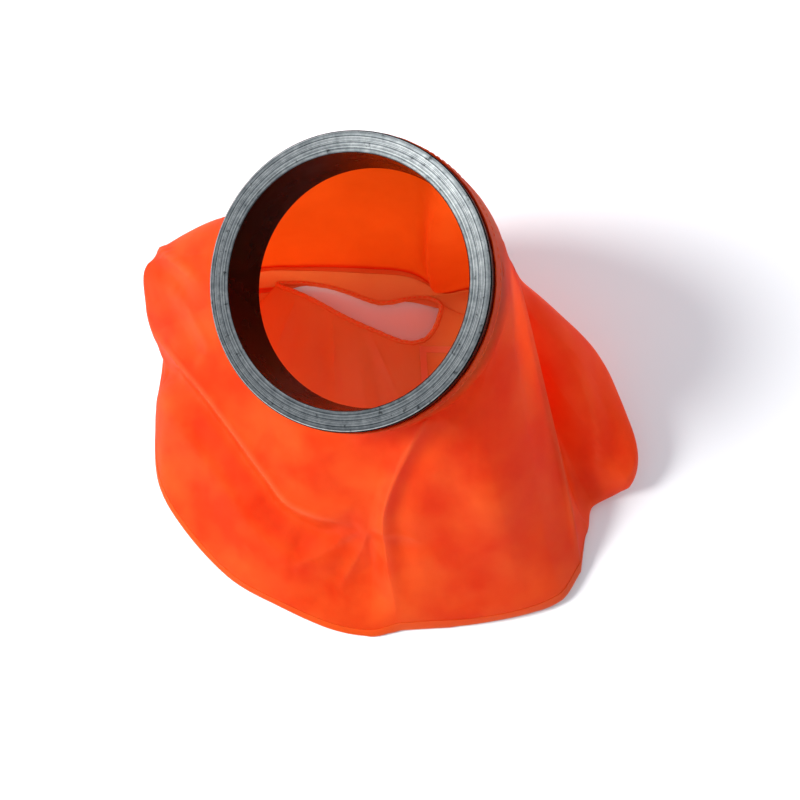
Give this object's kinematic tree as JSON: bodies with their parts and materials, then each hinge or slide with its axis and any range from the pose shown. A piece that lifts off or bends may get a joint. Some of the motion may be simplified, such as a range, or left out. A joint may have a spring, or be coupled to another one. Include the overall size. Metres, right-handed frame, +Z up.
{
  "type": "smoke hood",
  "caption": "Soft coated-fabric smoke hood standing on its neck opening, hung from a short rigid port tube that sinks as the hood is pressed flat.",
  "frame": {"origin": "on the surface that the hood stands on, below the middle of its base", "axes": "+Z up, +Y to the back of the hood as it stands, port leaning to the front left"},
  "size_m": [0.2264, 0.2048, 0.1344],
  "materials": {
    "tube_aluminium": "black hard-anodised wall and bore, front face turned bare",
    "cuff_fabric": "orange coated nylon sleeve",
    "band_rubber": "black elastic rubber",
    "hood_fabric": "thin translucent orange coated nylon",
    "seam_tape": "welded orange coated tape"
  },
  "bodies": {
    "hood": {"back_panel": "hood_fabric", "left_panel": "hood_fabric", "front_panel": "hood_fabric", "right_panel": "hood_fabric", "back_right_seam": "seam_tape", "back_left_seam": "seam_tape", "front_left_seam": "seam_tape", "front_right_seam": "seam_tape", "base_back_panel": "hood_fabric", "base_left_panel": "hood_fabric", "base_right_panel": "hood_fabric", "base_right_seam": "seam_tape", "base_left_seam": "seam_tape", "base_front_seam": "seam_tape", "edge_seam": "seam_tape", "neck_hem": "hood_fabric", "neck_elastic": "band_rubber"},
    "port": {"port_tube": "tube_aluminium", "cuff": "cuff_fabric", "retaining_band": "band_rubber", "collar_hem": "hood_fabric"}
  },
  "joints": [
    {"name": "port_press", "type": "slide", "parent": "hood", "child": "port", "axis": [0, 0, -1], "range_m": [0, 0.045], "deforming": ["back_panel", "left_panel", "front_panel", "right_panel", "back_right_seam", "back_left_seam", "front_left_seam", "front_right_seam"]}
  ]
}
